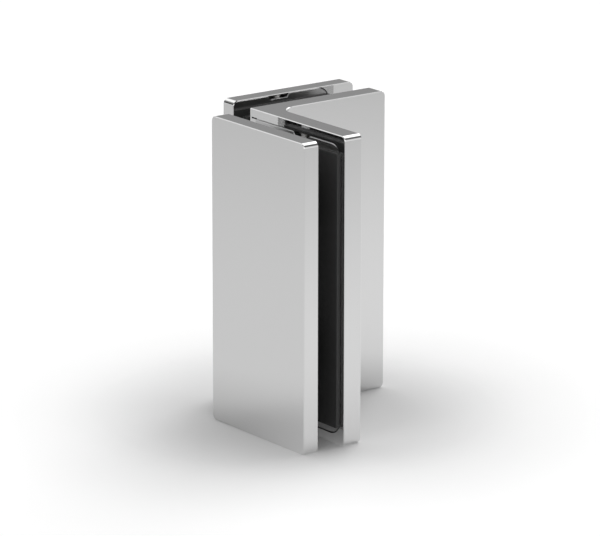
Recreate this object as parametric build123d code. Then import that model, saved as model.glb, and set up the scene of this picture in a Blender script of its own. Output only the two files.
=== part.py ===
from build123d import *
import os

# Glass corner connector for two panes of glass that meet at a right angle.
# All sizes are in millimetres.
#
# Each leg is drawn in its own frame. It starts at the outer corner of the cover, at floor level:
#   u runs along the leg, n runs out of the cover towards the glass, and z runs up.
# On the rear leg u is +X and n is +Y. The front leg holds the same pieces, turned over.

# Whole fitting
HEIGHT = 90.0
GLASS_SPACE = 6.8
EDGE_BEVEL = 0.3
RUNNING_CLEARANCE = 0.1
THREAD_CLEARANCE = 0.05

# Angle cover, on the inside of the glass corner
LEG_LENGTH = 44.4
LEG_THICKNESS = 6.0
INNER_CORNER_RADIUS = 5.3
COVER_END_RADIUS = 2.0

# Pocket in the glass side of each leg
POCKET_RIM = 2.6
POCKET_END_WALL = 1.6
POCKET_CORNER_WALL = 2.9
POCKET_END_RADIUS = 4.8
POCKET_CORNER_RADIUS = 0.8

# Relief slots, from each corner of the pocket towards the corner of the cover
RELIEF_LENGTH = 2.2
RELIEF_WIDTH = 0.45
RELIEF_DEPTH = 1.5

# Outer plates
PLATE_THICKNESS = 5.0
PLATE_SETBACK = 0.9
PLATE_CORNER_RADIUS = 2.0

# Clamp plates, which fill the pockets
CLAMP_THICKNESS = 3.0
CLAMP_CLEARANCE = 0.25
CLAMP_EDGE_BEVEL = 0.2

# Notch in the top and the bottom edge of each clamp plate
NOTCH_CENTRE = 24.2
NOTCH_WIDTH = 7.4
NOTCH_FLOOR_WIDTH = 5.8
NOTCH_DEPTH = 1.15
NOTCH_MOUTH_RADIUS = 0.9

# Gaskets, on the clamp plates and on the outer plates
GASKET_THICKNESS = 1.2
GASKET_START_INSET = 2.1
GASKET_END_INSET = 0.1
GASKET_EDGE_INSET = 2.2
GASKET_CORNER_RADIUS = 0.4

# Clamp screws, countersunk, with a hexagon socket
SCREW_CENTRE = 22.9
SCREW_SPACING = 44.0
SCREW_DIAMETER = 5.0
SCREW_LENGTH = 16.0
SCREW_HEAD_DIAMETER = 10.0
SCREW_SOCKET_WIDTH = 3.0
SCREW_SOCKET_DEPTH = 1.8
SCREW_HOLE_CLEARANCE = 0.25
SCREW_BORE_SPARE = 0.4

# Sleeves, round the clamp screws, in the holes of the glass and of the gaskets
SLEEVE_WALL = 3.3
SLEEVE_LENGTH = 8.0
SLEEVE_CLEARANCE = 0.15
SLEEVE_SURROUND = 0.2

# Grub screws, in the edges of the clamp plates
GRUB_DIAMETER = 2.5
GRUB_LENGTH = 6.0
GRUB_STAND = 0.3
GRUB_SOCKET_WIDTH = 1.3
GRUB_SOCKET_DEPTH = 1.3
GRUB_BORE_SPARE = 1.0

# Sizes that follow from those above
GAP = GLASS_SPACE + 2 * GASKET_THICKNESS
PLATE_BACK = GAP + PLATE_THICKNESS
MIDDLE = HEIGHT / 2
OVERALL = PLATE_BACK + LEG_LENGTH
CORNER_OFFSET = OVERALL / 2 - PLATE_BACK
POCKET_START = POCKET_CORNER_WALL
POCKET_END = LEG_LENGTH - POCKET_END_WALL
POCKET_DEPTH = CLAMP_THICKNESS + RUNNING_CLEARANCE
CLAMP_START = POCKET_START + CLAMP_CLEARANCE
CLAMP_END = POCKET_END - CLAMP_CLEARANCE
CLAMP_BOTTOM = POCKET_RIM + CLAMP_CLEARANCE
CLAMP_TOP = HEIGHT - CLAMP_BOTTOM
GRUB_DEPTH = CLAMP_THICKNESS / 2
SCREW_END = SCREW_LENGTH - CLAMP_THICKNESS
SCREW_HOLE = SCREW_DIAMETER + 2 * SCREW_HOLE_CLEARANCE
SCREW_THREAD_BORE = SCREW_DIAMETER + 2 * THREAD_CLEARANCE
SLEEVE_BORE = SCREW_DIAMETER + 2 * SLEEVE_CLEARANCE
SLEEVE_DIAMETER = SLEEVE_BORE + 2 * SLEEVE_WALL
GASKET_HOLE = SLEEVE_DIAMETER + 2 * SLEEVE_SURROUND
SCREW_LEVELS = {"upper": MIDDLE + SCREW_SPACING / 2, "lower": MIDDLE - SCREW_SPACING / 2}
FROM_BOTTOM = (Align.CENTER, Align.CENTER, Align.MIN)


def outline(u0, u1, z0, z1, start_radius, end_radius):
    """Upright rectangle, with its own corner radius at the start and at the end of the leg."""
    face = Plane.XZ * Pos((u0 + u1) / 2, (z0 + z1) / 2) * Rectangle(u1 - u0, z1 - z0)
    face = fillet(face.vertices().group_by(Axis.X)[0], start_radius)
    return fillet(face.vertices().group_by(Axis.X)[-1], end_radius)


def slab(u0, u1, z0, z1, n0, n1, start_radius, end_radius):
    """Plate that stands on edge, from n0 to n1 across the leg."""
    face = outline(u0, u1, z0, z1, start_radius, end_radius)
    return extrude(Pos(0, n0, 0) * face, amount=n1 - n0, dir=(0, 1, 0))


def across(n, u, z):
    """Plane at n that looks along +n, centred on u and z."""
    return Plane(origin=(u, n, z), x_dir=(1, 0, 0), z_dir=(0, 1, 0))


def rod(u, z, n0, n1, diameter):
    """Round bar or bore across the leg, from n0 to n1."""
    return across(n0, u, z) * Cylinder(diameter / 2, n1 - n0, align=FROM_BOTTOM)


def turned(points):
    """Solid turned about Z from a half profile of radius and height."""
    return revolve(make_face(Plane.XZ * Polyline(*points, close=True)), axis=Axis.Z)


def hexagon_socket(width, depth, top):
    """Hexagon socket, as wide as its key across the flats, down from a level top."""
    sketch = Pos(0, 0, top - depth) * RegularPolygon(width / 2, 6, major_radius=False)
    return extrude(sketch, amount=depth)


def sharp_edges(solid):
    """Edges where two faces meet at an angle, without those where one runs smoothly into the next."""
    faces = solid.faces()
    found = []
    for edge in solid.edges():
        middle = edge @ 0.5
        normals = [face.normal_at(middle) for face in faces if edge in face.edges()]
        if len(normals) == 2 and normals[0].get_angle(normals[1]) > 1:
            found.append(edge)
    return found


def turn_over(solid):
    """A piece of the rear leg, turned over on to the front leg."""
    diagonal = Axis((0, 0, MIDDLE), (1, -1, 0))
    return solid.rotate(diagonal, 180)


def flipped(solid):
    """The same piece or cut at the other end of the leg, below its middle."""
    return mirror(solid, about=Plane.XY.offset(MIDDLE))


def relief_slots():
    """Slots in the glass side of the cover, in line with the gap above and below the clamp plate."""
    inset = POCKET_RIM + CLAMP_CLEARANCE / 2
    u0 = POCKET_START - RELIEF_LENGTH
    low = inset - RELIEF_WIDTH / 2
    high = low + RELIEF_WIDTH
    slot = slab(u0, POCKET_START + POCKET_CORNER_RADIUS, low, high, -RELIEF_DEPTH, EDGE_BEVEL,
                RELIEF_WIDTH / 4, RELIEF_WIDTH / 4)
    return [slot, flipped(slot)]


def pocket():
    """Recess for the clamp plate, with its relief slots."""
    recess = slab(POCKET_START, POCKET_END, POCKET_RIM, HEIGHT - POCKET_RIM, -POCKET_DEPTH, EDGE_BEVEL,
                  POCKET_CORNER_RADIUS, POCKET_END_RADIUS)
    return [recess, *relief_slots()]


def angle_cover():
    """L-shaped cover: one profile, rounded leg ends, bevelled edges and a pocket in each leg."""
    profile = make_face(Polyline(
        (0, 0), (LEG_LENGTH, 0), (LEG_LENGTH, -LEG_THICKNESS), (LEG_THICKNESS, -LEG_THICKNESS),
        (LEG_THICKNESS, -LEG_LENGTH), (0, -LEG_LENGTH), close=True))
    inner_corner = profile.vertices().sort_by_distance((LEG_THICKNESS, -LEG_THICKNESS))[0]
    body = extrude(fillet(inner_corner, INNER_CORNER_RADIUS), amount=HEIGHT)
    rear_end = body.edges().filter_by(Axis.Y).group_by(Axis.X)[-1]
    front_end = body.edges().filter_by(Axis.X).group_by(Axis.Y)[0]
    body = fillet(rear_end + front_end, COVER_END_RADIUS)
    body = chamfer(sharp_edges(body), EDGE_BEVEL)
    for cutter in pocket():
        body -= cutter
        body -= turn_over(cutter)
    return body


def outer_plate():
    """Outer plate, with a blind threaded bore for each clamp screw."""
    plate = slab(PLATE_SETBACK, LEG_LENGTH, 0, HEIGHT, GAP, PLATE_BACK,
                 PLATE_CORNER_RADIUS, PLATE_CORNER_RADIUS)
    plate = chamfer(sharp_edges(plate), EDGE_BEVEL)
    for level in SCREW_LEVELS.values():
        plate -= rod(SCREW_CENTRE, level, GAP, SCREW_END + SCREW_BORE_SPARE, SCREW_THREAD_BORE)
    return plate


def notch():
    """Tapered notch in the top edge of the clamp plate."""
    half, floor_half = NOTCH_WIDTH / 2, NOTCH_FLOOR_WIDTH / 2
    spare = CLAMP_CLEARANCE
    lean = (half - floor_half) / NOTCH_DEPTH * spare
    floor = CLAMP_TOP - NOTCH_DEPTH
    points = [(NOTCH_CENTRE - half - lean, CLAMP_TOP + spare), (NOTCH_CENTRE - floor_half, floor),
              (NOTCH_CENTRE + floor_half, floor), (NOTCH_CENTRE + half + lean, CLAMP_TOP + spare)]
    face = make_face(Plane.XZ * Polyline(*points, close=True))
    return extrude(Pos(0, -CLAMP_THICKNESS, 0) * face, amount=CLAMP_THICKNESS, dir=(0, 1, 0))


def countersunk_hole(level):
    """Clearance hole for a clamp screw, countersunk from the back of the clamp plate."""
    hole = SCREW_HOLE / 2
    mouth = SCREW_HEAD_DIAMETER / 2 + RUNNING_CLEARANCE
    cutter = turned([(0, 0), (mouth, 0), (hole, mouth - hole), (hole, CLAMP_THICKNESS),
                     (0, CLAMP_THICKNESS)])
    return across(-CLAMP_THICKNESS, SCREW_CENTRE, level) * cutter


def grub_bore():
    """Threaded bore down from the floor of the top notch."""
    depth = GRUB_LENGTH - GRUB_STAND + GRUB_BORE_SPARE
    floor = CLAMP_TOP - NOTCH_DEPTH
    bore = Cylinder(GRUB_DIAMETER / 2 + THREAD_CLEARANCE, depth, align=FROM_BOTTOM)
    return Pos(NOTCH_CENTRE, -GRUB_DEPTH, floor - depth) * bore


def clamp_plate():
    """Clamp plate: notched top and bottom edges, two countersunk holes and two threaded bores."""
    plate = slab(CLAMP_START, CLAMP_END, CLAMP_BOTTOM, CLAMP_TOP, -CLAMP_THICKNESS, 0,
                 POCKET_CORNER_RADIUS - CLAMP_CLEARANCE, POCKET_END_RADIUS - CLAMP_CLEARANCE)
    cut = notch()
    plate -= cut
    plate -= flipped(cut)
    mouths = [edge for edge in plate.edges().filter_by(Axis.Y)
              if abs(abs((edge @ 0.5).X - NOTCH_CENTRE) - NOTCH_WIDTH / 2) < 0.01]
    plate = fillet(mouths, NOTCH_MOUTH_RADIUS)
    plate = chamfer(plate.faces().sort_by(Axis.Y)[-1].edges(), CLAMP_EDGE_BEVEL)
    bore = grub_bore()
    plate -= bore
    plate -= flipped(bore)
    for level in SCREW_LEVELS.values():
        plate -= countersunk_hole(level)
    return plate


def gasket(n0):
    """Rubber pad, inset from the outline of the clamp plate, with a hole for each sleeve."""
    pad = slab(CLAMP_START + GASKET_START_INSET, CLAMP_END - GASKET_END_INSET,
               CLAMP_BOTTOM + GASKET_EDGE_INSET, CLAMP_TOP - GASKET_EDGE_INSET,
               n0, n0 + GASKET_THICKNESS, GASKET_CORNER_RADIUS, GASKET_CORNER_RADIUS)
    for level in SCREW_LEVELS.values():
        pad -= rod(SCREW_CENTRE, level, n0, n0 + GASKET_THICKNESS, GASKET_HOLE)
    return pad


def clamp_screw(level):
    """Countersunk screw, flush with the back of the clamp plate, that turns in the outer plate."""
    head, shank = SCREW_HEAD_DIAMETER / 2, SCREW_DIAMETER / 2
    body = turned([(0, 0), (head, 0), (shank, head - shank), (shank, SCREW_LENGTH), (0, SCREW_LENGTH)])
    body -= hexagon_socket(SCREW_SOCKET_WIDTH, SCREW_SOCKET_DEPTH, SCREW_SOCKET_DEPTH)
    return across(-CLAMP_THICKNESS, SCREW_CENTRE, level) * body


def sleeve(level):
    """Plastic sleeve round a clamp screw, in the middle of the gap between the plates."""
    bore, rim = SLEEVE_BORE / 2, SLEEVE_DIAMETER / 2
    body = turned([(bore, 0), (rim, 0), (rim, SLEEVE_LENGTH), (bore, SLEEVE_LENGTH)])
    return across((GAP - SLEEVE_LENGTH) / 2, SCREW_CENTRE, level) * body


def grub_screw():
    """Grub screw that stands a little proud of the floor of the top notch."""
    body = Cylinder(GRUB_DIAMETER / 2, GRUB_LENGTH, align=FROM_BOTTOM)
    body -= hexagon_socket(GRUB_SOCKET_WIDTH, GRUB_SOCKET_DEPTH, GRUB_LENGTH)
    top = CLAMP_TOP - NOTCH_DEPTH + GRUB_STAND
    return Pos(NOTCH_CENTRE, -GRUB_DEPTH, top - GRUB_LENGTH) * body


def leg_pieces():
    """Every piece of one leg, by name, as it lies on the rear leg."""
    upper_grub = grub_screw()
    lower_grub = flipped(upper_grub)
    pieces = {
        "outer_plate": outer_plate(),
        "clamp_plate": clamp_plate(),
        "inner_gasket": gasket(0),
        "outer_gasket": gasket(GASKET_THICKNESS + GLASS_SPACE),
        "upper_grub_screw": upper_grub,
        "lower_grub_screw": lower_grub,
    }
    for name, level in SCREW_LEVELS.items():
        pieces[name + "_clamp_screw"] = clamp_screw(level)
        pieces[name + "_sleeve"] = sleeve(level)
    return pieces


def swap_levels(name):
    """Name of a piece once the leg is turned over, when upper becomes lower."""
    if name.startswith("upper"):
        return name.replace("upper", "lower")
    return name.replace("lower", "upper")


def connector():
    """All pieces by node name, with the origin under the middle of the whole fitting."""
    nodes = {"angle_cover": angle_cover()}
    for name, solid in leg_pieces().items():
        nodes["rear_" + name] = solid
        nodes["front_" + swap_levels(name)] = turn_over(solid)
    centre = Pos(-CORNER_OFFSET, CORNER_OFFSET, 0)
    return {name: centre * solid for name, solid in nodes.items()}


def main():
    os.makedirs("parts", exist_ok=True)
    for name, solid in connector().items():
        export_step(solid, "parts/" + name + ".step")
        print(name, round(solid.volume, 1))


main()
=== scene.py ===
import math
import bmesh
import bpy
from bpy.props import FloatProperty, FloatVectorProperty, IntProperty, PointerProperty
from mathutils import Matrix, Vector


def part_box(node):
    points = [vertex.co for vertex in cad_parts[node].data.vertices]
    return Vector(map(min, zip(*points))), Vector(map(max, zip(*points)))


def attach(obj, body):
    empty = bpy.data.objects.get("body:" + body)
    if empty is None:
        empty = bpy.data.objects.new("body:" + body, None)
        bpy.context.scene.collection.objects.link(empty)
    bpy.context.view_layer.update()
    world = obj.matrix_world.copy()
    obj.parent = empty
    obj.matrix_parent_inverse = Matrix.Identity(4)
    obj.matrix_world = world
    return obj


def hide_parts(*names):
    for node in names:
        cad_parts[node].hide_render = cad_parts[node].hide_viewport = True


bl_info = {
    "name": "Glass corner connector",
    "version": (1, 0, 0),
    "blender": (4, 5, 0),
    "location": "3D View > Sidebar > Connector",
    "description": "Dresses the packed glass corner connector with real edges, threads and finishes",
    "category": "Object",
}

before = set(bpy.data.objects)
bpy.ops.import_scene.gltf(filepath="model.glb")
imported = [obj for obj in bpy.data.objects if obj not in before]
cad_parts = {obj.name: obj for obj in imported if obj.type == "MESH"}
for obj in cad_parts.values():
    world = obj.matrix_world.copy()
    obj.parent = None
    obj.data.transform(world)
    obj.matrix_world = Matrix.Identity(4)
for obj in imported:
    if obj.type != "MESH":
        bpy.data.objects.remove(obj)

# Places that the frame gives, in metres.
# A leg is drawn in its own frame: u along the leg, n out of the cover towards the glass, z up.
COVER_LOW, COVER_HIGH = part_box("angle_cover")
PLATE_LOW, PLATE_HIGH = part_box("rear_outer_plate")
CLAMP_LOW, CLAMP_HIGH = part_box("rear_clamp_plate")
PAD_LOW, PAD_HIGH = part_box("rear_inner_gasket")
OUTER_PAD_LOW, OUTER_PAD_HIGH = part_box("rear_outer_gasket")
SCREW_LOW, SCREW_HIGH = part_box("rear_upper_clamp_screw")
SLEEVE_LOW, SLEEVE_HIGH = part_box("rear_upper_sleeve")
GRUB_LOW, GRUB_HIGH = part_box("rear_upper_grub_screw")
CORNER_X, CORNER_Y = COVER_LOW.x, COVER_HIGH.y
HEIGHT = COVER_HIGH.z
LEG_LENGTH = COVER_HIGH.x - CORNER_X
MIDDLE = HEIGHT / 2
SCREW_Z = (SCREW_LOW.z + SCREW_HIGH.z) / 2
SCREW_U = (SCREW_LOW.x + SCREW_HIGH.x) / 2 - CORNER_X
NOTCH_U = (GRUB_LOW.x + GRUB_HIGH.x) / 2 - CORNER_X
GRUB_N = (GRUB_LOW.y + GRUB_HIGH.y) / 2 - CORNER_Y

REAR_LEG = Matrix.Translation((CORNER_X, CORNER_Y, 0))
FRONT_LEG = Matrix.Translation((CORNER_X, CORNER_Y, 0)) @ Matrix(
    ((0, -1, 0, 0), (-1, 0, 0, 0), (0, 0, -1, HEIGHT), (0, 0, 0, 1)))
LEGS = {"rear": REAR_LEG, "front": FRONT_LEG}
TURNED_OVER = {"upper": "lower", "lower": "upper"}
UPSIDE_DOWN = Matrix(((1, 0, 0, 0), (0, 1, 0, 0), (0, 0, -1, HEIGHT), (0, 0, 0, 1)))
MM = 0.001

# Edges that turn by more than this many degrees stay sharp, on plain pieces and on threaded ones.
PLAIN_EDGE, THREADED_EDGE = 35, 40
# How far a cutter reaches past the face that it opens: through a whole piece, or out of a shallow cut.
THROUGH, PAST = 1 * MM, 0.2 * MM


class ConnectorShape(bpy.types.PropertyGroup):
    """Sizes of the fitting that the frame's boxes don't give."""

    edge_chamfer: FloatProperty(
        name="Edge chamfer", description="Chamfer round the outer face of the outer plates",
        default=0.2 * MM, unit="LENGTH")
    glass_side_chamfer: FloatProperty(
        name="Glass side chamfer", description="Chamfer round the glass side of the outer plates",
        default=0.15 * MM, unit="LENGTH")
    cover_chamfer: FloatProperty(
        name="Cover chamfer", description="Chamfer of the edges of the cover",
        default=0.2 * MM, unit="LENGTH")
    cover_thickness: FloatProperty(
        name="Cover thickness", description="Thickness of each leg of the cover",
        default=6 * MM, unit="LENGTH")
    inner_corner_radius: FloatProperty(
        name="Inner corner radius", description="Fillet in the inside corner of the cover",
        default=5.3 * MM, unit="LENGTH")
    corner_radius: FloatProperty(
        name="Corner radius", description="Rounding of the leg ends and of the outer plates' corners",
        default=1.6 * MM, unit="LENGTH")
    pocket_rim: FloatProperty(
        name="Pocket rim", description="Rim of the pocket at the top and bottom of the cover",
        default=2.6 * MM, unit="LENGTH")
    pocket_depth: FloatProperty(
        name="Pocket depth", description="Depth of the pocket that holds the clamp plate",
        default=3.1 * MM, unit="LENGTH")
    pocket_corner_wall: FloatProperty(
        name="Corner wall", description="From the outer corner of the cover to the pocket",
        default=2.9 * MM, unit="LENGTH")
    pocket_end_wall: FloatProperty(
        name="End wall", description="From the pocket to the end of the leg",
        default=1.6 * MM, unit="LENGTH")
    pocket_end_radius: FloatProperty(
        name="Pocket end radius", description="Rounding of the pocket's corners at the end of the leg",
        default=4.8 * MM, unit="LENGTH")
    slot_steps: IntProperty(
        name="Slot steps", description="Sides of a quarter circle at the ends of the relief slots",
        default=3, min=1, max=12)
    mouth_steps: IntProperty(
        name="Notch mouth steps", description="Sides of the rounding of a notch's mouth",
        default=5, min=1, max=24)
    pocket_corner_radius: FloatProperty(
        name="Pocket corner radius", description="Rounding of the pocket's corners by the cover's corner",
        default=0.3 * MM, unit="LENGTH")
    slot_length: FloatProperty(
        name="Slot length", description="Length of the relief slots past the pocket",
        default=2.0 * MM, unit="LENGTH")
    slot_width: FloatProperty(
        name="Slot width", description="Width of the relief slots",
        default=0.42 * MM, unit="LENGTH")
    slot_depth: FloatProperty(
        name="Slot depth", description="Depth of the relief slots",
        default=2.8 * MM, unit="LENGTH")
    snug_start: FloatProperty(
        name="Snug start", description="How much the clamp plates close their gap to the corner wall",
        default=0.23 * MM, unit="LENGTH")
    clamp_bevel: FloatProperty(
        name="Clamp plate bevel", description="Bevel of the top and bottom edges of the clamp plates",
        default=0.18 * MM, unit="LENGTH")
    notch_width: FloatProperty(
        name="Notch width", description="Width of the notch at the edge of the clamp plate",
        default=7.4 * MM, unit="LENGTH")
    notch_floor_width: FloatProperty(
        name="Notch floor width", description="Width of the flat floor of the notch",
        default=5.8 * MM, unit="LENGTH")
    notch_depth: FloatProperty(
        name="Notch depth", description="Depth of the notch in the edge of the clamp plate",
        default=1.15 * MM, unit="LENGTH")
    notch_radius: FloatProperty(
        name="Notch mouth radius", description="Rounding of the two corners of the notch's mouth",
        default=0.9 * MM, unit="LENGTH")
    gasket_radius: FloatProperty(
        name="Gasket corner radius", description="Rounding of the corners of the gaskets",
        default=0.4 * MM, unit="LENGTH")
    gasket_edge: FloatProperty(
        name="Gasket edge radius", description="Rounding of the edge on the glass side of the gaskets",
        default=0.2 * MM, unit="LENGTH")
    screw_hole: FloatProperty(
        name="Screw hole", description="Diameter of the holes for the clamp screws",
        default=5.5 * MM, unit="LENGTH")
    gasket_hole: FloatProperty(
        name="Gasket hole", description="Diameter of the holes in the gaskets, round the sleeves",
        default=12.3 * MM, unit="LENGTH")
    sleeve_bore: FloatProperty(
        name="Sleeve bore", description="Diameter of the bore of the sleeves",
        default=5.3 * MM, unit="LENGTH")
    sleeve_chamfer: FloatProperty(
        name="Sleeve chamfer", description="Chamfer of the outside edges of the sleeves",
        default=0.3 * MM, unit="LENGTH")
    bore_spare: FloatProperty(
        name="Bore spare", description="How much deeper than its screw a bore in an outer plate is",
        default=0.4 * MM, unit="LENGTH")
    grub_bore_spare: FloatProperty(
        name="Grub bore spare", description="How much deeper than its grub screw a bore is",
        default=1 * MM, unit="LENGTH")
    notch_bevel: FloatProperty(
        name="Notch bevel", description="Share of the clamp plate's bevel that the sides of a notch get",
        default=0.8, min=0, max=1)
    thread_clearance: FloatProperty(
        name="Thread clearance", description="Between a thread and its bore, on the radius",
        default=0.05 * MM, unit="LENGTH")
    round_steps: IntProperty(
        name="Steps of a quarter turn", description="Sides of a quarter circle in the meshes",
        default=12, min=4, max=48)


class ConnectorThreads(bpy.types.PropertyGroup):
    """Threads and sockets of the two kinds of screw."""

    clamp_pitch: FloatProperty(
        name="Clamp screw pitch", description="Pitch of the M5 thread", default=0.8 * MM, unit="LENGTH")
    clamp_diameter: FloatProperty(
        name="Clamp screw diameter", description="Outside diameter of the M5 thread",
        default=4.95 * MM, unit="LENGTH")
    clamp_socket: FloatProperty(
        name="Clamp screw socket", description="Socket of the clamp screw, across its flats",
        default=3 * MM, unit="LENGTH")
    clamp_socket_depth: FloatProperty(
        name="Clamp socket depth", description="Depth of the clamp screw's socket",
        default=1.8 * MM, unit="LENGTH")
    head_edge: FloatProperty(
        name="Head edge", description="Chamfer round the head of a clamp screw",
        default=0.15 * MM, unit="LENGTH")
    plain_neck: FloatProperty(
        name="Plain neck", description="Length without thread under the head of a clamp screw",
        default=0.3 * MM, unit="LENGTH")
    grub_pitch: FloatProperty(
        name="Grub screw pitch", description="Pitch of the M2.5 thread",
        default=0.45 * MM, unit="LENGTH")
    grub_socket: FloatProperty(
        name="Grub screw socket", description="Socket of the grub screw, across its flats",
        default=1.3 * MM, unit="LENGTH")
    grub_socket_depth: FloatProperty(
        name="Grub socket depth", description="Depth of the grub screw's socket",
        default=1.3 * MM, unit="LENGTH")
    grub_rise: FloatProperty(
        name="Grub screw rise", description="How far the grub screws are turned out past their first place",
        default=0.85 * MM, unit="LENGTH")
    grub_point: FloatProperty(
        name="Grub screw point", description="Chamfer at the lower end of a grub screw",
        default=0.5 * MM, unit="LENGTH")
    grub_chamfer: FloatProperty(
        name="Grub screw chamfer", description="Chamfer round the socket end of a grub screw",
        default=0.22 * MM, unit="LENGTH")
    end_chamfer: FloatProperty(
        name="End chamfer", description="Chamfer at the end of a clamp screw's thread",
        default=0.5 * MM, unit="LENGTH")
    turns_steps: IntProperty(
        name="Sides of a screw", description="Sides of a full circle in the screws and sleeves",
        default=48, min=12, max=128)
    rows_a_turn: IntProperty(
        name="Rows of a turn", description="Rows of points along one turn of a thread",
        default=10, min=4, max=32)
    thread_depth: FloatProperty(
        name="Thread depth", description="Depth of a thread, as a share of its pitch", default=0.6, min=0)
    thread_flat: FloatProperty(
        name="Thread flat", description="Flat at the crest and root of a thread, as a share of half a turn",
        default=0.12, min=0, max=0.4)


class ConnectorFinish(bpy.types.PropertyGroup):
    """Colours and roughnesses of the fitting."""

    steel: FloatVectorProperty(
        name="Polished steel", description="Colour of the cover and the outer plates",
        default=(0.65, 0.65, 0.65), subtype="COLOR", size=3, min=0, max=1)
    steel_roughness: FloatProperty(
        name="Polish", description="Roughness of the polished faces", default=0.05, min=0, max=1)
    plate: FloatVectorProperty(
        name="Machined steel", description="Colour of the clamp plates",
        default=(0.50, 0.50, 0.50), subtype="COLOR", size=3, min=0, max=1)
    plate_roughness: FloatProperty(
        name="Machined roughness", description="Roughness of the clamp plates", default=0.3, min=0, max=1)
    screw: FloatVectorProperty(
        name="Screw steel", description="Colour of the screws",
        default=(0.74, 0.73, 0.72), subtype="COLOR", size=3, min=0, max=1)
    screw_roughness: FloatProperty(
        name="Screw roughness", description="Roughness of the screws", default=0.42, min=0, max=1)
    rubber: FloatVectorProperty(
        name="Rubber", description="Colour of the gaskets",
        default=(0.045, 0.045, 0.045), subtype="COLOR", size=3, min=0, max=1)
    rubber_roughness: FloatProperty(
        name="Rubber roughness", description="Roughness of the gaskets", default=0.55, min=0, max=1)
    nylon: FloatVectorProperty(
        name="Nylon", description="Colour of the sleeves",
        default=(0.03, 0.03, 0.03), subtype="COLOR", size=3, min=0, max=1)
    nylon_roughness: FloatProperty(
        name="Nylon roughness", description="Roughness of the sleeves", default=0.4, min=0, max=1)


class ConnectorStage(bpy.types.PropertyGroup):
    """Camera, floor and light."""

    camera_place: FloatVectorProperty(
        name="Camera", description="Place of the camera", default=(-0.70108, -0.91440, 0.36218),
        subtype="TRANSLATION", size=3, unit="LENGTH")
    camera_target: FloatVectorProperty(
        name="Target", description="Point in the middle of the picture",
        default=(-0.008655, -0.000142, 0.044915), subtype="TRANSLATION", size=3, unit="LENGTH")
    camera_roll: FloatProperty(
        name="Roll", description="Turn of the camera about its line of sight",
        default=0.00113, subtype="ANGLE", unit="ROTATION")
    lens: FloatProperty(
        name="Lens", description="Focal length, in millimetres", default=249.6, min=10)
    sensor: FloatProperty(
        name="Sensor", description="Width of the sensor, in millimetres", default=36, min=1)
    nearest: FloatProperty(
        name="Nearest", description="Nearest thing that the camera shows", default=0.01, unit="LENGTH")
    farthest: FloatProperty(
        name="Farthest", description="Farthest thing that the camera shows", default=20, unit="LENGTH")
    floor_size: FloatProperty(
        name="Floor", description="Side of the floor", default=6.0, unit="LENGTH")
    floor_colour: FloatVectorProperty(
        name="Floor colour", description="Colour of the floor", default=(0.8, 0.8, 0.8),
        subtype="COLOR", size=3, min=0, max=1)
    # Painted light: the floor's emission lifts it towards white the farther it lies from the glow centre,
    # so the darker middle round the fitting is painted shade as well as the lamps' shadow.
    painted_floor_glow: FloatProperty(
        name="Floor glow", description="How much whiter the open floor looks than its shaded middle",
        default=0.24, min=0, max=1)
    glow_centre: FloatVectorProperty(
        name="Glow centre", description="Middle of the part of the floor that does not glow",
        default=(-0.004, 0.009, 0), subtype="TRANSLATION", size=3, unit="LENGTH")
    glow_start: FloatProperty(
        name="Glow start", description="Distance from its centre at which the glow starts",
        default=0.026, unit="LENGTH")
    glow_full: FloatProperty(
        name="Glow full", description="Distance from its centre at which the glow is full",
        default=0.074, unit="LENGTH")
    outer_glow: FloatProperty(
        name="Outer glow", description="Share of the glow that comes again further out", default=0.5, min=0)
    outer_start: FloatProperty(
        name="Outer start", description="Distance at which the outer glow starts",
        default=0.050, unit="LENGTH")
    outer_full: FloatProperty(
        name="Outer full", description="Distance at which the outer glow is full",
        default=0.110, unit="LENGTH")
    # Painted reflection: mirrors see a pool of glow on the floor, stronger in front at the right, that
    # fades out far away.
    mirror_centre: FloatVectorProperty(
        name="Mirrored centre", description="Middle of the part of the floor that does not glow in mirrors",
        default=(0, 0.027, 0), subtype="TRANSLATION", size=3, unit="LENGTH")
    mirror_lean: FloatProperty(
        name="Mirrored lean", description="How much stronger the mirrored glow is in front, at the right",
        default=0.3, min=0, max=1)
    lean_towards: FloatVectorProperty(
        name="Lean towards", description="Direction in which the mirrored glow grows stronger",
        default=(0.6, -0.8, 0), subtype="DIRECTION", size=3)
    lean_width: FloatProperty(
        name="Lean width", description="Distance either side of the fitting over which the lean acts",
        default=0.100, unit="LENGTH")
    mirror_fade: FloatProperty(
        name="Mirrored fade", description="Distance at which the mirrored glow starts to fade away",
        default=0.115, unit="LENGTH")
    mirror_reach: FloatProperty(
        name="Mirrored reach", description="Distance at which the mirrored glow has faded away",
        default=0.54, unit="LENGTH")
    even_light: FloatProperty(
        name="Even light", description="Brightness of the studio between its soft boxes",
        default=0.03, min=0)
    backdrop_top: FloatProperty(
        name="Backdrop top", description="How high mirrors see the white backdrop over the floor",
        default=math.radians(12), subtype="ANGLE", unit="ROTATION")
    box_edge: FloatProperty(
        name="Soft box edge", description="Angle from the middle of a soft box to where its light ends",
        default=math.radians(28), subtype="ANGLE", unit="ROTATION")
    box_core: FloatProperty(
        name="Soft box core", description="Angle from the middle of a soft box to where its light fades",
        default=math.radians(8), subtype="ANGLE", unit="ROTATION")


def shape():
    """Sizes of the pieces."""
    return bpy.context.scene.connector_shape


def threads():
    """Sizes of the screws."""
    return bpy.context.scene.connector_threads


def finish():
    """Colours and roughnesses."""
    return bpy.context.scene.connector_finish


# Outlines, in the u and z of a leg


def arc(centre, radius, start, end, steps):
    """Points on an arc, from the start angle to the end angle, in degrees."""
    points = []
    for i in range(steps + 1):
        angle = math.radians(start + (end - start) * i / steps)
        points.append((centre[0] + radius * math.cos(angle), centre[1] + radius * math.sin(angle)))
    return points


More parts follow.
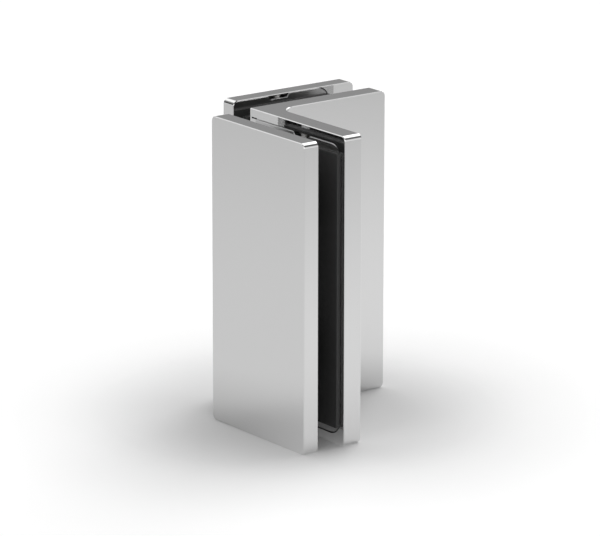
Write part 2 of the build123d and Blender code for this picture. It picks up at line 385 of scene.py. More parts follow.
def rounded_rectangle(u0, u1, z0, z1, start_radius, end_radius, steps):
    """Outline anticlockwise, with one corner radius at the start and one at the end of the leg."""
    a, b = start_radius, end_radius
    return (arc((u0 + a, z0 + a), a, 180, 270, steps) + arc((u1 - b, z0 + b), b, 270, 360, steps)
            + arc((u1 - b, z1 - b), b, 0, 90, steps) + arc((u0 + a, z1 - a), a, 90, 180, steps))


# Meshes


def ring(mesh, points, n):
    """Vertices on one level across the leg."""
    return [mesh.verts.new((u, n, z)) for u, z in points]


def skin(mesh, rings):
    """Closes a stack of rings with faces between them and a flat face at each end."""
    for low, high in zip(rings, rings[1:]):
        for i in range(len(low)):
            j = (i + 1) % len(low)
            mesh.faces.new((low[i], low[j], high[j], high[i]))
    mesh.faces.new(list(reversed(rings[0])))
    mesh.faces.new(rings[-1])


def rounded_slab(u0, u1, z0, z1, n0, n1, radii, edges, steps, edge_steps=4):
    """Upright slab with rounded corners. Its edges at n0 and n1 are rounded, or chamfered in one step."""
    mesh = bmesh.new()
    rings = []
    levels = []
    for n, edge, side in ((n0, edges[0], 1), (n1, edges[1], -1)):
        turns = [math.radians(90 * i / edge_steps) for i in range(edge_steps + 1 if edge else 1)]
        level = [(edge * (1 - math.sin(turn)), n + side * edge * (1 - math.cos(turn))) for turn in turns]
        levels += level if side > 0 else list(reversed(level))
    for inset, n in levels:
        points = rounded_rectangle(u0 + inset, u1 - inset, z0 + inset, z1 - inset,
                                   radii[0] - inset, radii[1] - inset, steps)
        rings.append(ring(mesh, points, n))
    skin(mesh, rings)
    bmesh.ops.recalc_face_normals(mesh, faces=mesh.faces)
    return mesh


def plain_slab(u0, u1, z0, z1, n0, n1, radii, steps):
    """Upright slab with rounded corners and sharp edges, as a cutter."""
    return rounded_slab(u0, u1, z0, z1, n0, n1, radii, (0, 0), steps)


def turned(profile, steps, thread=None):
    """Solid turned about z from points of radius and height, from the bottom up.

    thread is a function of angle and height that gives the depth cut into the radius there.
    A profile that leaves the axis open at both ends is closed into a ring."""
    mesh = bmesh.new()
    rows = []
    for radius, height in profile:
        if radius == 0:
            rows.append([mesh.verts.new((0, 0, height))])
            continue
        row = []
        for i in range(steps):
            angle = 2 * math.pi * i / steps
            cut = thread(angle, height) if thread else 0
            row.append(mesh.verts.new(((radius - cut) * math.cos(angle),
                                       (radius - cut) * math.sin(angle), height)))
        rows.append(row)
    pairs = list(zip(rows, rows[1:]))
    if profile[0][0] and profile[-1][0]:
        pairs.append((rows[-1], rows[0]))
    for low, high in pairs:
        for i in range(steps):
            j = (i + 1) % steps
            corners = [low[i % len(low)], low[j % len(low)], high[j % len(high)], high[i % len(high)]]
            mesh.faces.new(list(dict.fromkeys(corners)))
    bmesh.ops.recalc_face_normals(mesh, faces=mesh.faces)
    return mesh


def hexagon(width, low, high):
    """Hexagon prism, as wide as its key across the flats, as a cutter."""
    mesh = bmesh.new()
    corner = width / math.sqrt(3)
    rings = []
    for height in (low, high):
        rings.append([mesh.verts.new((corner * math.cos(math.radians(60 * i)),
                                      corner * math.sin(math.radians(60 * i)), height))
                      for i in range(6)])
    skin(mesh, rings)
    return mesh


def moved(mesh, matrix):
    """The mesh, moved and turned in place."""
    bmesh.ops.transform(mesh, matrix=matrix, verts=mesh.verts)
    return mesh


def across_leg(u, n, z):
    """Places a piece turned about z so that its axis runs along +n from the point given."""
    return Matrix(((1, 0, 0, u), (0, 0, 1, n), (0, -1, 0, z), (0, 0, 0, 1)))


def flipped(mesh):
    """A mirrored copy of a cutter, at the other end of the leg."""
    copy = moved(mesh.copy(), UPSIDE_DOWN)
    bmesh.ops.reverse_faces(copy, faces=copy.faces)
    return copy


def as_object(name, mesh):
    """New object that holds the mesh."""
    data = bpy.data.meshes.new(name)
    mesh.to_mesh(data)
    mesh.free()
    piece = bpy.data.objects.new(name, data)
    bpy.context.scene.collection.objects.link(piece)
    return piece


def cut(piece, cutters):
    """Takes each cutter out of the piece, exactly."""
    for cutter in cutters:
        tool = as_object("cutter", cutter)
        boolean = piece.modifiers.new("cut", "BOOLEAN")
        boolean.operation = "DIFFERENCE"
        boolean.solver = "EXACT"
        boolean.object = tool
        bpy.context.view_layer.update()
        evaluated = piece.evaluated_get(bpy.context.evaluated_depsgraph_get())
        result = bpy.data.meshes.new_from_object(evaluated)
        piece.modifiers.clear()
        old, piece.data = piece.data, result
        result.name = piece.name
        bpy.data.meshes.remove(old)
        bpy.data.objects.remove(tool)


def smooth(piece, degrees):
    """Shades smooth, keeps edges above the angle sharp and large flat faces flat."""
    mesh = bmesh.new()
    mesh.from_mesh(piece.data)
    for face in mesh.faces:
        face.smooth = True
    limit = math.radians(degrees)
    for edge in mesh.edges:
        edge.smooth = len(edge.link_faces) == 2 and edge.calc_face_angle(math.pi) < limit
    mesh.to_mesh(piece.data)
    mesh.free()
    weighted = piece.modifiers.new("flat faces stay flat", "WEIGHTED_NORMAL")
    weighted.keep_sharp = True
    weighted.weight = 100


def dress(piece, node, material):
    """Puts the piece in the place of its node, with its finish."""
    piece.data.materials.clear()
    piece.data.materials.append(material)
    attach(piece, "root")
    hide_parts(node)


def level_name(leg, name):
    """Name of a level on that leg: the front leg is the rear one turned over."""
    return name if leg == "rear" else TURNED_OVER[name]


# Finishes. The frame's own materials have the names of the slots, so these have a word in front.

FINISH = "studio_"
# Noise lies mostly between these values.
NOISE_LOW, NOISE_HIGH = 0.3, 0.7


def material_tree(name):
    """New material with its node tree and its shader."""
    material = bpy.data.materials.new(FINISH + name)
    material.use_nodes = True
    tree = material.node_tree
    return material, tree, tree.nodes["Principled BSDF"]


def metal(name, colour):
    """New metal of that colour, with its node tree and its shader."""
    material, tree, shader = material_tree(name)
    shader.inputs["Metallic"].default_value = 1
    shader.inputs["Base Color"].default_value = (*colour, 1)
    return material, tree, shader


def node(tree, kind):
    """New node of that kind."""
    return tree.nodes.new(kind)


def noise(tree, scale, detail):
    """Noise in the object's own metres, finer as the scale grows."""
    place = node(tree, "ShaderNodeTexCoord")
    texture = node(tree, "ShaderNodeTexNoise")
    texture.inputs["Scale"].default_value = scale
    texture.inputs["Detail"].default_value = detail
    tree.links.new(place.outputs["Object"], texture.inputs["Vector"])
    return texture.outputs["Fac"]


def spread(tree, value, low, high):
    """Maps noise on to the range from low to high."""
    ramp = node(tree, "ShaderNodeMapRange")
    ramp.inputs["From Min"].default_value = NOISE_LOW
    ramp.inputs["From Max"].default_value = NOISE_HIGH
    ramp.inputs["To Min"].default_value = low
    ramp.inputs["To Max"].default_value = high
    tree.links.new(value, ramp.inputs["Value"])
    return ramp.outputs["Result"]


def roughened(tree, shader, value, roughness, change):
    """Varies the roughness by the change, either way."""
    varied = spread(tree, value, roughness - change, roughness + change)
    tree.links.new(varied, shader.inputs["Roughness"])


def bumped(tree, shader, height, strength, distance):
    """Gives the surface a fine relief."""
    bump = node(tree, "ShaderNodeBump")
    bump.inputs["Strength"].default_value = strength
    bump.inputs["Distance"].default_value = distance
    tree.links.new(height, bump.inputs["Height"])
    tree.links.new(bump.outputs["Normal"], shader.inputs["Normal"])


def polished_steel():
    """Soft mirror of the cover and the outer plates."""
    material, tree, shader = metal("polished_steel", finish().steel)
    roughened(tree, shader, noise(tree, scale=260, detail=4), finish().steel_roughness, change=0.012)
    bumped(tree, shader, noise(tree, scale=3000, detail=3), strength=0.03, distance=0.02 * MM)
    return material


def machined_steel():
    """Fine milled steel of the clamp plates."""
    material, tree, shader = metal("machined_steel", finish().plate)
    roughened(tree, shader, noise(tree, scale=400, detail=4), finish().plate_roughness, change=0.02)
    bumped(tree, shader, noise(tree, scale=2500, detail=3), strength=0.1, distance=0.02 * MM)
    return material


def screw_steel():
    """Turned steel of the clamp screws and the grub screws."""
    material, tree, shader = metal("screw_steel", finish().screw)
    roughened(tree, shader, noise(tree, scale=900, detail=4), finish().screw_roughness, change=0.05)
    bumped(tree, shader, noise(tree, scale=4000, detail=2), strength=0.1, distance=0.02 * MM)
    return material


def gasket_rubber():
    """Matt black rubber of the gaskets."""
    material, tree, shader = material_tree("gasket_rubber")
    shader.inputs["Base Color"].default_value = (*finish().rubber, 1)
    shader.inputs["Specular IOR Level"].default_value = 0.35
    roughened(tree, shader, noise(tree, scale=500, detail=4), finish().rubber_roughness, change=0.06)
    bumped(tree, shader, noise(tree, scale=5000, detail=4), strength=0.25, distance=0.03 * MM)
    return material


def sleeve_nylon():
    """Moulded black nylon of the sleeves."""
    material, tree, shader = material_tree("sleeve_nylon")
    shader.inputs["Base Color"].default_value = (*finish().nylon, 1)
    roughened(tree, shader, noise(tree, scale=700, detail=3), finish().nylon_roughness, change=0.05)
    bumped(tree, shader, noise(tree, scale=2500, detail=3), strength=0.1, distance=0.02 * MM)
    return material


def finish_of(make):
    """The material of that finish, made the first time that it is asked for."""
    return bpy.data.materials.get(FINISH + make.__name__) or make()


# Pieces


def pocket_cutters(leg):
    """The pocket and the two relief slots of one leg."""
    size = shape()
    above = size.pocket_depth
    rim, wall = size.pocket_rim, size.pocket_corner_wall
    radii = (size.pocket_corner_radius, size.pocket_end_radius)
    pocket = plain_slab(wall, LEG_LENGTH - size.pocket_end_wall, rim, HEIGHT - rim,
                        -size.pocket_depth, above, radii, size.round_steps)
    half = size.slot_width / 2
    slot = plain_slab(wall - size.slot_length, wall + size.slot_width, rim - half, rim + half,
                      -size.slot_depth, above, (half / 2, half / 2), size.slot_steps)
    top_slot = flipped(slot)
    return [moved(cutter, leg) for cutter in (pocket, slot, top_slot)]


def bevel(mesh, edges, offset, segments):
    """Rounds the edges given, or chamfers them with one segment."""
    bmesh.ops.bevel(mesh, geom=edges, offset=offset, segments=segments, profile=0.5, affect="EDGES",
                    clamp_overlap=False)


def cover_body():
    """L-shaped prism with rounded leg ends, a fillet in the inner corner and chamfered edges."""
    size = shape()
    inside = size.cover_thickness
    mesh = bmesh.new()
    corners = [(0, 0), (LEG_LENGTH, 0), (LEG_LENGTH, -inside), (inside, -inside),
               (inside, -LEG_LENGTH), (0, -LEG_LENGTH)]
    low = [mesh.verts.new((x, y, 0)) for x, y in corners]
    high = [mesh.verts.new((x, y, HEIGHT)) for x, y in corners]
    skin(mesh, [low, high])
    bmesh.ops.recalc_face_normals(mesh, faces=mesh.faces)

    def between(edge, ends):
        """Whether the edge runs between those corners of the L, or stands on the one given."""
        return {(round(v.co.x, 6), round(v.co.y, 6)) for v in edge.verts} == {
            (round(x, 6), round(y, 6)) for x, y in ends}

    leg_ends = [e for e in mesh.edges if between(e, corners[1:3]) or between(e, corners[4:6])]
    bevel(mesh, leg_ends, size.corner_radius, size.round_steps)
    inner = [e for e in mesh.edges if between(e, corners[3:4])]
    bevel(mesh, inner, size.inner_corner_radius, 2 * size.round_steps)
    sharp = [e for e in mesh.edges if e.calc_face_angle(0) > math.radians(PLAIN_EDGE)]
    bevel(mesh, sharp, size.cover_chamfer, 1)
    return moved(mesh, REAR_LEG)


class CONNECTOR_OT_angle_cover(bpy.types.Operator):
    """Adds the L-shaped cover, with a pocket and two relief slots in each leg"""

    bl_idname = "connector.angle_cover"
    bl_label = "Angle cover"

    def execute(self, context):
        cover = as_object("polished_angle_cover", cover_body())
        for leg in LEGS.values():
            cut(cover, pocket_cutters(leg))
        smooth(cover, PLAIN_EDGE)
        dress(cover, "angle_cover", finish_of(polished_steel))
        return {"FINISHED"}


def outer_plate_body():
    """Flat plate as tall as the cover, chamfered all round on both faces."""
    size = shape()
    radii = (size.corner_radius, size.corner_radius)
    return rounded_slab(PLATE_LOW.x - CORNER_X, PLATE_HIGH.x - CORNER_X, 0, HEIGHT,
                        PLATE_LOW.y - CORNER_Y, PLATE_HIGH.y - CORNER_Y,
                        radii, (size.glass_side_chamfer, size.edge_chamfer), size.round_steps, edge_steps=1)


def screw_levels():
    """Heights of the upper and the lower screw, on the rear leg."""
    return (SCREW_Z, HEIGHT - SCREW_Z)


def bores(start, end, diameter):
    """A cutter for each clamp screw, from start to end across the leg."""
    steps = threads().turns_steps
    profile = [(0, 0), (diameter / 2, 0), (diameter / 2, end - start), (0, end - start)]
    return [moved(turned(profile, steps), across_leg(SCREW_U, start, level)) for level in screw_levels()]


class CONNECTOR_OT_outer_plates(bpy.types.Operator):
    """Adds the two outer plates, with blind threaded bores for the clamp screws"""

    bl_idname = "connector.outer_plates"
    bl_label = "Outer plates"

    def execute(self, context):
        inner_face = PLATE_LOW.y - CORNER_Y
        tip = SCREW_HIGH.y - CORNER_Y
        bore = threads().clamp_diameter + 2 * shape().thread_clearance
        for leg, place in LEGS.items():
            plate = as_object(f"polished_{leg}_outer_plate", outer_plate_body())
            cut(plate, bores(inner_face - THROUGH, tip + shape().bore_spare, bore))
            plate.data.transform(place)
            smooth(plate, PLAIN_EDGE)
            dress(plate, f"{leg}_outer_plate", finish_of(polished_steel))
        return {"FINISHED"}


def notched_outline():
    """Outline of the clamp plate: rounded corners and a tapered notch in its top and bottom edge."""
    size = shape()
    steps = size.round_steps
    u0, u1 = CLAMP_LOW.x - CORNER_X - size.snug_start, CLAMP_HIGH.x - CORNER_X
    z0, z1 = CLAMP_LOW.z, CLAMP_HIGH.z
    gap = CLAMP_LOW.z - size.pocket_rim
    start, end = size.pocket_corner_radius - gap, size.pocket_end_radius - gap
    half, floor_half, depth = size.notch_width / 2, size.notch_floor_width / 2, size.notch_depth
    slope = math.degrees(math.atan2(depth, half - floor_half))
    radius = size.notch_radius
    reach = radius * math.tan(math.radians(slope / 2))
    bottom = (arc((NOTCH_U - half - reach, z0 + radius), radius, 270, 270 + slope, size.mouth_steps)
              + [(NOTCH_U - floor_half, z0 + depth), (NOTCH_U + floor_half, z0 + depth)]
              + arc((NOTCH_U + half + reach, z0 + radius), radius, 270 - slope, 270, size.mouth_steps))
    top = [(u, z0 + z1 - z) for u, z in reversed(bottom)]
    return (arc((u0 + start, z0 + start), start, 180, 270, steps) + bottom
            + arc((u1 - end, z0 + end), end, 270, 360, steps)
            + arc((u1 - end, z1 - end), end, 0, 90, steps) + top
            + arc((u0 + start, z1 - start), start, 90, 180, steps))


def clamp_plate_body():
    """Notched plate, bevelled on its glass side along its top and bottom edge."""
    size = shape()
    mesh = bmesh.new()
    outline = notched_outline()
    back, front = CLAMP_LOW.y - CORNER_Y, CLAMP_HIGH.y - CORNER_Y

    def bevelled(u, z):
        """Where a point of the outline lies past the bevel, which runs out down the sides of the plate."""
        reach = CLAMP_HIGH.z - MIDDLE
        into_notch = (reach - abs(z - MIDDLE)) / size.notch_depth
        if 0 < into_notch <= 1 and abs(u - NOTCH_U) < size.notch_width:
            u += math.copysign(size.notch_bevel * size.clamp_bevel * into_notch, u - NOTCH_U)
        share = (abs(z - MIDDLE) - (reach - size.pocket_end_radius)) / size.pocket_end_radius
        return u, z + math.copysign(size.clamp_bevel * max(0.0, share), MIDDLE - z)

    skin(mesh, [ring(mesh, outline, back), ring(mesh, outline, front - size.clamp_bevel),
                ring(mesh, [bevelled(u, z) for u, z in outline], front)])
    bmesh.ops.recalc_face_normals(mesh, faces=mesh.faces)
    return mesh


def countersink_cutters():
    """Clearance holes for the clamp screws, countersunk from the back."""
    steps = threads().turns_steps
    back, front = CLAMP_LOW.y - CORNER_Y, CLAMP_HIGH.y - CORNER_Y
    hole = shape().screw_hole / 2
    head = (SCREW_HIGH.x - SCREW_LOW.x) / 2 + 2 * shape().thread_clearance
    end = front - back + PAST
    profile = [(0, -PAST), (head + PAST, -PAST), (hole, head - hole), (hole, end), (0, end)]
    return [moved(turned(profile, steps), across_leg(SCREW_U, back, level)) for level in screw_levels()]


def grub_bore_cutters():
    """Bores for the grub screws, from the floor of each notch."""
    size = shape()
    radius = (GRUB_HIGH.x - GRUB_LOW.x) / 2 + size.thread_clearance
    top = CLAMP_HIGH.z - size.notch_depth + PAST
    deep = GRUB_LOW.z - size.grub_bore_spare
    profile = [(0, deep), (radius, deep), (radius, top), (0, top)]
    bore = moved(turned(profile, threads().turns_steps), Matrix.Translation((NOTCH_U, GRUB_N, 0)))
    return [bore, flipped(bore)]


class CONNECTOR_OT_clamp_plates(bpy.types.Operator):
    """Adds the two clamp plates, notched, countersunk and bored for the grub screws"""

    bl_idname = "connector.clamp_plates"
    bl_label = "Clamp plates"

    def execute(self, context):
        for leg, place in LEGS.items():
            plate = as_object(f"machined_{leg}_clamp_plate", clamp_plate_body())
            cut(plate, countersink_cutters() + grub_bore_cutters())
            plate.data.transform(place)
            smooth(plate, PLAIN_EDGE)
            dress(plate, f"{leg}_clamp_plate", finish_of(machined_steel))
        return {"FINISHED"}


def gasket_body(low, high, edges):
    """Rubber pad with round corners. Each of its two faces has its own edge radius."""
    size = shape()
    return rounded_slab(low.x - CORNER_X, high.x - CORNER_X, low.z, high.z,
                        low.y - CORNER_Y, high.y - CORNER_Y,
                        (size.gasket_radius, size.gasket_radius), edges, size.round_steps)


class CONNECTOR_OT_gaskets(bpy.types.Operator):
    """Adds the four black gaskets that grip the glass"""

    bl_idname = "connector.gaskets"
    bl_label = "Gaskets"

    def execute(self, context):
        edge = shape().gasket_edge
        kinds = {"inner": (PAD_LOW, PAD_HIGH, (0.0, edge)),
                 "outer": (OUTER_PAD_LOW, OUTER_PAD_HIGH, (edge, 0.0))}
        for leg, place in LEGS.items():
            for kind, (low, high, edges) in kinds.items():
                pad = as_object(f"rubber_{leg}_{kind}_gasket", gasket_body(low, high, edges))
                start, end = low.y - CORNER_Y - THROUGH, high.y - CORNER_Y + THROUGH
                cut(pad, bores(start, end, shape().gasket_hole))
                pad.data.transform(place)
                smooth(pad, PLAIN_EDGE)
                dress(pad, f"{leg}_{kind}_gasket", finish_of(gasket_rubber))
        return {"FINISHED"}


def thread_cut(pitch, start, end):
    """Depth of a sixty degree thread at an angle and height, running out at both ends."""
    depth = threads().thread_depth * pitch
    flat = threads().thread_flat

    def at(angle, height):
        """Depth there: a flat crest, a slope and a flat root in each turn."""
        turn = (height / pitch - angle / (2 * math.pi)) % 1
        wave = min(1.0, max(0.0, (abs(turn - 0.5) * 2 - flat) / (1 - 2 * flat)))
        run_out = min(1.0, max(0.0, (height - start) / pitch), max(0.0, (end - height) / pitch))
        return depth * wave * run_out

    return at


def thread_rows(start, end, pitch, radius):
    """Profile points along a threaded length."""
    count = int(threads().rows_a_turn * (end - start) / pitch)
    return [(radius, start + (end - start) * i / count) for i in range(count + 1)]


def clamp_screw_body():
    """Countersunk screw about z, with its head at the bottom."""
    size = threads()
    head = (SCREW_HIGH.x - SCREW_LOW.x) / 2
    length = SCREW_HIGH.y - SCREW_LOW.y
    shank = size.clamp_diameter / 2
    start, end = head - shank + size.plain_neck, length - size.end_chamfer
    edge = size.head_edge
    profile = ([(0, 0), (head - edge, 0), (head, edge), (shank, head - shank + edge)]
               + thread_rows(start + edge, end, size.clamp_pitch, shank)
               + [(shank - size.end_chamfer, length), (0, length)])
    return turned(profile, size.turns_steps, thread_cut(size.clamp_pitch, start + edge, length))


class CONNECTOR_OT_clamp_screws(bpy.types.Operator):
    """Adds the four countersunk clamp screws, threaded, with a hexagon socket"""

    bl_idname = "connector.clamp_screws"
    bl_label = "Clamp screws"

    def execute(self, context):
        size = threads()
        for leg, place in LEGS.items():
            for name, level in zip(("upper", "lower"), screw_levels()):
                name = level_name(leg, name)
                screw = as_object(f"threaded_{leg}_{name}_clamp_screw", clamp_screw_body())
                cut(screw, [hexagon(size.clamp_socket, -THROUGH, size.clamp_socket_depth)])
                screw.data.transform(place @ across_leg(SCREW_U, SCREW_LOW.y - CORNER_Y, level))
                smooth(screw, THREADED_EDGE)
                dress(screw, f"{leg}_{name}_clamp_screw", finish_of(screw_steel))
        return {"FINISHED"}


def sleeve_body():
    """Plastic ring about z, chamfered outside, and half as much in its bore."""
    length = SLEEVE_HIGH.y - SLEEVE_LOW.y
    rim, bore = (SLEEVE_HIGH.x - SLEEVE_LOW.x) / 2, shape().sleeve_bore / 2
    edge = shape().sleeve_chamfer
    profile = [(bore, edge / 2), (bore + edge / 2, 0), (rim - edge, 0), (rim, edge), (rim, length - edge),
               (rim - edge, length), (bore + edge / 2, length), (bore, length - edge / 2)]
    return turned(profile, threads().turns_steps)


class CONNECTOR_OT_sleeves(bpy.types.Operator):
    """Adds the four nylon sleeves round the clamp screws"""

    bl_idname = "connector.sleeves"
    bl_label = "Sleeves"

    def execute(self, context):
        for leg, place in LEGS.items():
            for name, level in zip(("upper", "lower"), screw_levels()):
                name = level_name(leg, name)
                sleeve = as_object(f"nylon_{leg}_{name}_sleeve", sleeve_body())
                sleeve.data.transform(place @ across_leg(SCREW_U, SLEEVE_LOW.y - CORNER_Y, level))
                smooth(sleeve, PLAIN_EDGE)
                dress(sleeve, f"{leg}_{name}_sleeve", finish_of(sleeve_nylon))
        return {"FINISHED"}


def grub_screw_body():
    """Grub screw that stands on its cone point, with its socket up."""
    size = threads()
    radius = (GRUB_HIGH.x - GRUB_LOW.x) / 2
    length = GRUB_HIGH.z - GRUB_LOW.z
    point, edge = size.grub_point, size.grub_chamfer
    profile = ([(0, 0), (radius - point, 0)]
               + thread_rows(point, length - edge, size.grub_pitch, radius)
               + [(radius - edge, length), (0, length)])
    return turned(profile, size.turns_steps, thread_cut(size.grub_pitch, 0, length - edge))


class CONNECTOR_OT_grub_screws(bpy.types.Operator):
    """Adds the four grub screws in the edges of the clamp plates"""

    bl_idname = "connector.grub_screws"
    bl_label = "Grub screws"

    def execute(self, context):
        size = threads()
        length = GRUB_HIGH.z - GRUB_LOW.z
        over = Matrix(((1, 0, 0, 0), (0, -1, 0, 2 * GRUB_N), (0, 0, -1, HEIGHT), (0, 0, 0, 1)))
        stand = Matrix.Translation((NOTCH_U, GRUB_N, GRUB_LOW.z + size.grub_rise))
        for leg, place in LEGS.items():
            for name, end in (("upper", Matrix.Identity(4)), ("lower", over)):
                name = level_name(leg, name)
                screw = as_object(f"threaded_{leg}_{name}_grub_screw", grub_screw_body())
                socket_floor = length - size.grub_socket_depth
                cut(screw, [hexagon(size.grub_socket, socket_floor, length + THROUGH)])
                screw.data.transform(place @ end @ stand)
                smooth(screw, THREADED_EDGE)
                dress(screw, f"{leg}_{name}_grub_screw", finish_of(screw_steel))
        return {"FINISHED"}


# Stage


def joined(tree, kind, first, second):
    """Math node of that kind on a socket and a second socket or number."""
    made = node(tree, "ShaderNodeMath")
    made.operation = kind
    tree.links.new(first, made.inputs[0])
    if isinstance(second, float):
        made.inputs[1].default_value = second
    else:
        tree.links.new(second, made.inputs[1])
    return made.outputs["Value"]


def faded(tree, value, start, end, amount):
    """Rises smoothly from nothing at the start value to the amount at the end value."""
    ramp = node(tree, "ShaderNodeMapRange")
    ramp.interpolation_type = "SMOOTHSTEP"
    ramp.inputs["From Min"].default_value = start
    ramp.inputs["From Max"].default_value = end
    ramp.inputs["To Max"].default_value = amount
    tree.links.new(value, ramp.inputs["Value"])
    return ramp.outputs["Result"]


def mirrors_look(tree, path):
    """One for the rays that metal and glass send out, so that they show the background too."""
    return joined(tree, "ADD", path.outputs["Is Glossy Ray"], path.outputs["Is Transmission Ray"])


def distance_from(tree, place, centre):
    """Distance over the floor from the centre given."""
    away = node(tree, "ShaderNodeVectorMath")
    away.operation = "DISTANCE"
    away.inputs[1].default_value = centre
    tree.links.new(place.outputs["Object"], away.inputs[0])
    return away.outputs["Value"]


def painted_floor_glow(tree, stage):
    """Painted light: emission that turns the floor white away from the fitting, where it is looked at or
    mirrored, and leaves a painted shade round it.
    """
    place = node(tree, "ShaderNodeTexCoord")
    path = node(tree, "ShaderNodeLightPath")
    distance = distance_from(tree, place, stage.glow_centre)
    inner = faded(tree, distance, stage.glow_start, stage.glow_full, stage.painted_floor_glow)
    outer_amount = stage.outer_glow * stage.painted_floor_glow
    outer = faded(tree, distance, stage.outer_start, stage.outer_full, outer_amount)
    # Painted shade and light seen by the camera: two rings of emission that fade in away from the fitting.
    seen = joined(tree, "MULTIPLY", joined(tree, "ADD", inner, outer), path.outputs["Is Camera Ray"])

    # Painted reflection: the glow that mirrors see, leaning stronger to the front right and fading out far
    # away.
    forward = node(tree, "ShaderNodeVectorMath")
    forward.operation = "DOT_PRODUCT"
    forward.inputs[1].default_value = stage.lean_towards
    tree.links.new(place.outputs["Object"], forward.inputs[0])
    width = stage.lean_width
    lean = faded(tree, forward.outputs["Value"], -width, width, 2 * stage.mirror_lean)
    lean = joined(tree, "ADD", lean, 1 - stage.mirror_lean)
    distance = distance_from(tree, place, stage.mirror_centre)
    near = faded(tree, distance, stage.glow_start, stage.glow_full, stage.painted_floor_glow)
    reach = faded(tree, distance, stage.mirror_reach, stage.mirror_fade, 1.0)
    mirrored = joined(tree, "MULTIPLY", joined(tree, "MULTIPLY", near, lean), reach)
    mirrored = joined(tree, "MULTIPLY", mirrored, mirrors_look(tree, path))
    return joined(tree, "ADD", seen, mirrored)


def studio_floor(stage):
    """Pale floor that keeps the lamps' shadow and turns white away from it with painted light, so the shade
    round the fitting is partly painted.
    """
    half = stage.floor_size / 2
    mesh = bmesh.new()
    corners = [mesh.verts.new((x * half, y * half, 0)) for x, y in ((-1, -1), (1, -1), (1, 1), (-1, 1))]
    mesh.faces.new(corners)
    floor = as_object("floor", mesh)
    material, tree, shader = material_tree("floor_paper")
    shader.inputs["Base Color"].default_value = (*stage.floor_colour, 1)
    shader.inputs["Roughness"].default_value = 1
    shader.inputs["Specular IOR Level"].default_value = 0
    # Painted light on the floor: white emission, as strong as the painted floor glow.
    shader.inputs["Emission Color"].default_value = (1, 1, 1, 1)
    tree.links.new(painted_floor_glow(tree, stage), shader.inputs["Emission Strength"])
    floor.data.materials.append(material)


# Share of the backdrop's height up to which it is fully white.
BACKDROP_WHITE = 1 / 3
# Soft boxes round the studio: place, azimuth from +X towards +Y and elevation in degrees, and brightness.
SOFT_BOXES = (
    ("over the right", 12, 62, 2.2),
    ("over the back", 110, 60, 0.6),
    ("behind on the right", 25, 30, 2.7),
    ("behind on the left", 140, 40, 0.8),
    ("right", 340, 25, 0.35),
    ("behind, which the rounded ends mirror", 85, 38, 1.4),
    ("low behind, which the top faces mirror", 60, 10, 0.32),
    ("left", 195, 30, 0.8),
    ("front", 260, 30, 0.7),
    ("low on the left", 190, 10, 1.2),
    ("low in front on the left", 230, 10, 1.5),
    ("low in front on the right", 300, 10, 1.0),
)


def studio_world(stage):
    """White to the camera, soft boxes in a dim grey to the rest, and a low white backdrop to mirrors."""
    world = bpy.data.worlds.new("studio")
    world.use_nodes = True
    tree = world.node_tree
    tree.nodes.clear()
    sight = node(tree, "ShaderNodeTexCoord").outputs["Generated"]
    edge, core = math.cos(stage.box_edge), math.cos(stage.box_core)
    light = stage.even_light
    for place, azimuth, elevation, brightness in SOFT_BOXES:
        turn, lift = math.radians(azimuth), math.radians(elevation)
        towards = node(tree, "ShaderNodeVectorMath")
        towards.label = place
        towards.operation = "DOT_PRODUCT"
        towards.inputs[1].default_value = (
            math.cos(lift) * math.cos(turn), math.cos(lift) * math.sin(turn), math.sin(lift))
        tree.links.new(sight, towards.inputs[0])
        box = faded(tree, towards.outputs["Value"], edge, core, brightness)
        light = joined(tree, "ADD", box, light)
    studio = node(tree, "ShaderNodeBackground")
    tree.links.new(light, studio.inputs["Color"])
    white = node(tree, "ShaderNodeBackground")
    white.inputs["Color"].default_value = (1, 1, 1, 1)
    path = node(tree, "ShaderNodeLightPath")
    height = node(tree, "ShaderNodeSeparateXYZ")
    tree.links.new(sight, height.inputs["Vector"])
    top = math.sin(stage.backdrop_top)
    backdrop = faded(tree, height.outputs["Z"], top, BACKDROP_WHITE * top, 1.0)
    backdrop = joined(tree, "MULTIPLY", backdrop, mirrors_look(tree, path))
    mix = node(tree, "ShaderNodeMixShader")
    tree.links.new(joined(tree, "MAXIMUM", backdrop, path.outputs["Is Camera Ray"]), mix.inputs[0])
    tree.links.new(studio.outputs["Background"], mix.inputs[1])
    tree.links.new(white.outputs["Background"], mix.inputs[2])
    output = node(tree, "ShaderNodeOutputWorld")
    tree.links.new(mix.outputs["Shader"], output.inputs["Surface"])
    bpy.context.scene.world = world


def studio_camera(stage):
    """Camera that looks down on the fitting, past the end of its front leg."""
    data = bpy.data.cameras.new("camera")
    data.sensor_width = stage.sensor
    data.lens = stage.lens
    data.clip_start, data.clip_end = stage.nearest, stage.farthest
    camera = bpy.data.objects.new("camera", data)
    bpy.context.scene.collection.objects.link(camera)
    place, target = Vector(stage.camera_place), Vector(stage.camera_target)
    sight = (target - place).to_track_quat("-Z", "Y").to_matrix().to_4x4()
    camera.matrix_world = Matrix.Translation(place) @ sight @ Matrix.Rotation(stage.camera_roll, 4, "Z")
    bpy.context.scene.camera = camera


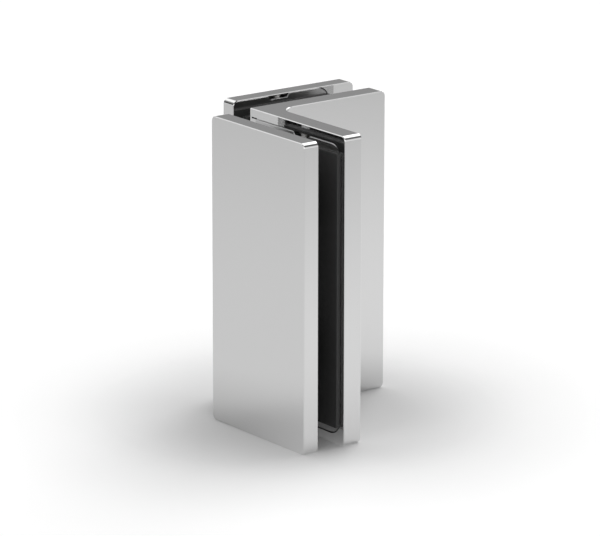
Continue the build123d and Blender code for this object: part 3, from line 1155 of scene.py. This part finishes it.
class CONNECTOR_OT_stage(bpy.types.Operator):
    """Adds the floor, the light and the camera"""

    bl_idname = "connector.stage"
    bl_label = "Stage"

    def execute(self, context):
        stage = context.scene.connector_stage
        context.scene.view_settings.view_transform = "Standard"
        studio_floor(stage)
        studio_world(stage)
        studio_camera(stage)
        return {"FINISHED"}


OPERATORS = (
    CONNECTOR_OT_angle_cover, CONNECTOR_OT_outer_plates, CONNECTOR_OT_clamp_plates,
    CONNECTOR_OT_gaskets, CONNECTOR_OT_clamp_screws, CONNECTOR_OT_sleeves, CONNECTOR_OT_grub_screws,
    CONNECTOR_OT_stage)
SETTINGS = {
    "connector_shape": ConnectorShape, "connector_threads": ConnectorThreads,
    "connector_finish": ConnectorFinish, "connector_stage": ConnectorStage}


class CONNECTOR_PT_pieces(bpy.types.Panel):
    """Lists the pieces of the connector and its stage"""

    bl_idname = "CONNECTOR_PT_pieces"
    bl_label = "Glass corner connector"
    bl_space_type = "VIEW_3D"
    bl_region_type = "UI"
    bl_category = "Connector"

    def draw(self, context):
        """A button for each operator, in the order in which they run."""
        for operator in OPERATORS:
            self.layout.operator(operator.bl_idname)


def register():
    """Registers the settings, the operators and the panel."""
    for settings in SETTINGS.values():
        bpy.utils.register_class(settings)
    for operator in OPERATORS:
        bpy.utils.register_class(operator)
    bpy.utils.register_class(CONNECTOR_PT_pieces)
    for name, settings in SETTINGS.items():
        setattr(bpy.types.Scene, name, PointerProperty(type=settings))


def unregister():
    """Takes back what register did, in the opposite order."""
    for name in SETTINGS:
        delattr(bpy.types.Scene, name)
    bpy.utils.unregister_class(CONNECTOR_PT_pieces)
    for operator in reversed(OPERATORS):
        bpy.utils.unregister_class(operator)
    for settings in reversed(list(SETTINGS.values())):
        bpy.utils.unregister_class(settings)


def main():
    """Builds every piece and the stage."""
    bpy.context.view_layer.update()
    register()
    bpy.ops.connector.angle_cover()
    bpy.ops.connector.outer_plates()
    bpy.ops.connector.clamp_plates()
    bpy.ops.connector.gaskets()
    bpy.ops.connector.clamp_screws()
    bpy.ops.connector.sleeves()
    bpy.ops.connector.grub_screws()
    bpy.ops.connector.stage()


if __name__ == "__main__":
    main()
